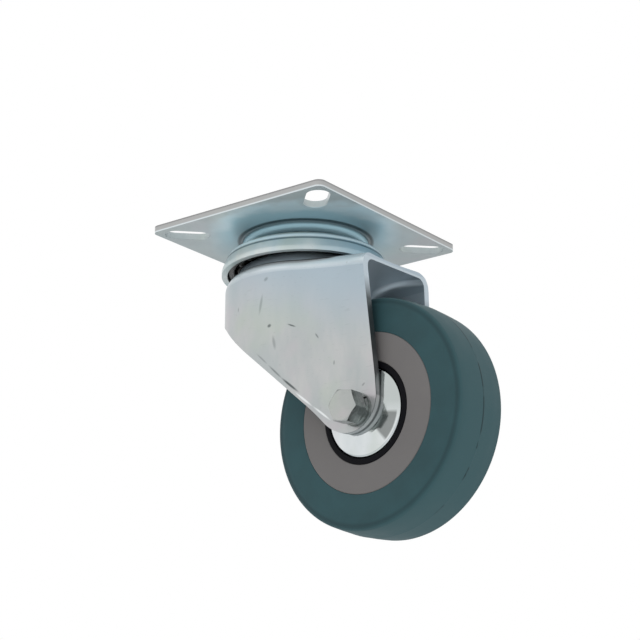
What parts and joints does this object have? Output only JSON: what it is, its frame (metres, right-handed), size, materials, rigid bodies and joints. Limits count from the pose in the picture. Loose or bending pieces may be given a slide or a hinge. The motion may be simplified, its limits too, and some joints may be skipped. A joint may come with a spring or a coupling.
{
  "type": "swivel castor",
  "caption": "Swivel castor with a slotted mounting plate, a ball-race swivel head, a pressed steel fork and a rubber-tyred wheel.",
  "frame": {"origin": "centre of the plate's flat mounting face, on the swivel axis", "axes": "+Z is the mounting face's outward normal and the swivel axis; X and Y run along the plate's shorter and longer sides; the wheel trails towards +X"},
  "size_m": [0.1434, 0.101, 0.143],
  "materials": {
    "zinc_plate": "satin zinc plate",
    "zinc_cup": "bright zinc plate",
    "zinc_fork": "satin zinc plate",
    "zinc_fastener": "bright zinc plate",
    "steel_tube": "turned",
    "race_steel": "ground",
    "ball_steel": "polished",
    "zinc_guard": "bright zinc plate",
    "nylon": "matt",
    "black_plastic": "matt",
    "grey_core": "matt",
    "tyre_rubber": "matt"
  },
  "bodies": {
    "plate": {"top_plate": "zinc_plate", "swivel_cup": "zinc_cup", "upper_balls": "ball_steel", "kingpin": "zinc_fastener", "kingpin_spacer": "steel_tube", "lower_race": "race_steel", "lower_balls": "ball_steel", "kingpin_washer": "zinc_fastener", "kingpin_nut": "zinc_fastener"},
    "fork": {"fork": "zinc_fork", "axle_bolt": "zinc_fastener", "lock_washer": "zinc_fastener", "axle_nut": "zinc_fastener", "nut_insert": "nylon", "axle_sleeve": "steel_tube", "axle_washer_near": "zinc_fastener", "thread_guard_near": "zinc_guard", "spacer_ring_near": "steel_tube", "bearing_inner_near": "race_steel", "bearing_balls_near": "ball_steel", "axle_washer_far": "zinc_fastener", "thread_guard_far": "zinc_guard", "spacer_ring_far": "steel_tube", "bearing_inner_far": "race_steel", "bearing_balls_far": "ball_steel"},
    "wheel": {"tyre": "tyre_rubber", "wheel_core": "grey_core", "hub_ring_near": "black_plastic", "bearing_outer_near": "race_steel", "hub_ring_far": "black_plastic", "bearing_outer_far": "race_steel"}
  },
  "joints": [
    {"name": "swivel", "type": "hinge", "parent": "plate", "child": "fork", "pos_m": [0, 0, -0.02], "axis": [0, 0, 1], "continuous": true},
    {"name": "wheel_spin", "type": "hinge", "parent": "fork", "child": "wheel", "pos_m": [0.0463, -0.00303, -0.093], "axis": [0.0654, 0.9979, 0], "continuous": true}
  ]
}
